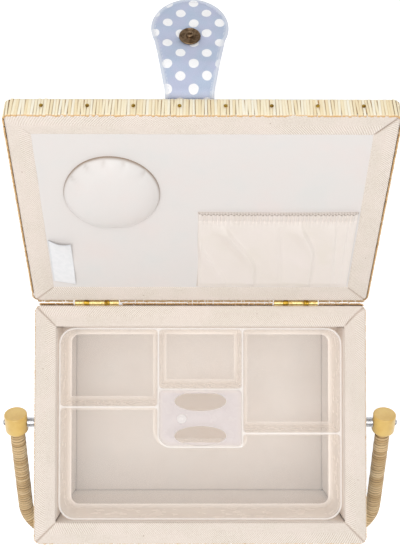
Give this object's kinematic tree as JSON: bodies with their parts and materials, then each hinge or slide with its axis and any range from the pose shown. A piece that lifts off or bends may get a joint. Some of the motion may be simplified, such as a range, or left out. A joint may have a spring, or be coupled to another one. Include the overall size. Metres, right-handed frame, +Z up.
{
  "type": "sewing box",
  "caption": "Rectangular padded sewing box with a hinged lid, swing handle, lift-out compartment tray, pincushion, lid pocket and snap tab.",
  "frame": {"origin": "centre of the underside of the box", "axes": "+Z up, +Y towards the hinges, +X to the right seen from the front; the lid stands open and the handle lies forward"},
  "size_m": [0.3642, 0.4797, 0.3428],
  "materials": {
    "dotted_cloth": "blue cotton with white dots",
    "wicker": "woven straw strip, semi-matt",
    "herringbone_tape": "cream twill tape with a herringbone weave",
    "satin": "soft off-white satin",
    "gathered_satin": "off-white satin gathered on elastic",
    "board": "plain fibreboard",
    "padding": "soft wadding",
    "tray_plastic": "translucent moulded plastic",
    "brass": "bright plated",
    "antique_brass": "antique brass",
    "steel": "plated",
    "magnet": "dark ferrite",
    "cap_plastic": "mustard, semi-gloss",
    "cane": "bent cane",
    "paper_cord": "wound paper cord",
    "woven_label": "blank woven label"
  },
  "bodies": {
    "basket": {"base_panel": "board", "front_panel": "board", "back_panel": "board", "left_panel": "board", "right_panel": "board", "tray_ledges": "board", "floor_pad": "satin", "front_lining": "satin", "back_lining": "satin", "left_lining": "satin", "right_lining": "satin", "outer_cover": "dotted_cloth", "bottom_border": "wicker", "top_border": "wicker", "rim_tape_front": "herringbone_tape", "rim_tape_back": "herringbone_tape", "rim_tape_left": "herringbone_tape", "rim_tape_right": "herringbone_tape", "hinge_left_body_leaf": "brass", "hinge_right_body_leaf": "brass", "hinge_pins": "brass", "body_hinge_screws": "brass", "snap_socket": "antique_brass", "snap_magnet": "magnet", "pivot_bolts": "steel", "pivot_spacers": "steel", "pivot_washers": "steel", "pivot_nuts": "steel"},
    "handle": {"handle_cane": "cane", "handle_wrap": "paper_cord", "handle_cap_left": "cap_plastic", "handle_cap_right": "cap_plastic"},
    "tray": {"tray": "tray_plastic"},
    "lid": {"lid_board": "board", "lid_padding": "padding", "lid_cover": "dotted_cloth", "lid_wicker_edge": "wicker", "edge_nails": "brass", "lid_lining": "satin", "hinge_left_lid_leaf": "brass", "hinge_right_lid_leaf": "brass", "lid_hinge_screws": "brass", "pincushion": "satin", "pocket": "gathered_satin", "pocket_elastic": "gathered_satin", "label": "woven_label", "tab_anchor": "dotted_cloth", "lid_rail_front": "board", "lid_rail_back": "board", "lid_rail_left": "board", "lid_rail_right": "board", "lid_tape_front": "herringbone_tape", "lid_tape_back": "herringbone_tape", "lid_tape_left": "herringbone_tape", "lid_tape_right": "herringbone_tape"},
    "tab_root": {"tab_root": "dotted_cloth"},
    "tab_tip": {"tab_tip": "dotted_cloth", "snap_stud": "antique_brass", "snap_washer": "antique_brass"}
  },
  "joints": [
    {"name": "lid_hinge", "type": "hinge", "parent": "basket", "child": "lid", "pos_m": [0, 0.1102, 0.17525], "axis": [-1, 0, 0], "range_deg": [-130, 0]},
    {"name": "handle_swing", "type": "hinge", "parent": "basket", "child": "handle", "pos_m": [0, 0, 0.1555], "axis": [-1, 0, 0], "range_deg": [0, 184]},
    {"name": "tray_lift", "type": "slide", "parent": "basket", "child": "tray", "axis": [0, 0, 1], "range_m": [0, 0.12]},
    {"name": "tab_fold", "type": "hinge", "parent": "lid", "child": "tab_root", "pos_m": [-0.0098, 0.27122, 0.3302], "axis": [-1, 0, 0], "range_deg": [-150, 15], "stiffness_Nm_per_rad": 0.15},
    {"name": "tab_curl", "type": "hinge", "parent": "tab_root", "child": "tab_tip", "pos_m": [-0.0098, 0.29486, 0.32603], "axis": [-1, 0, 0], "range_deg": [-18, 52], "stiffness_Nm_per_rad": 0.15}
  ]
}
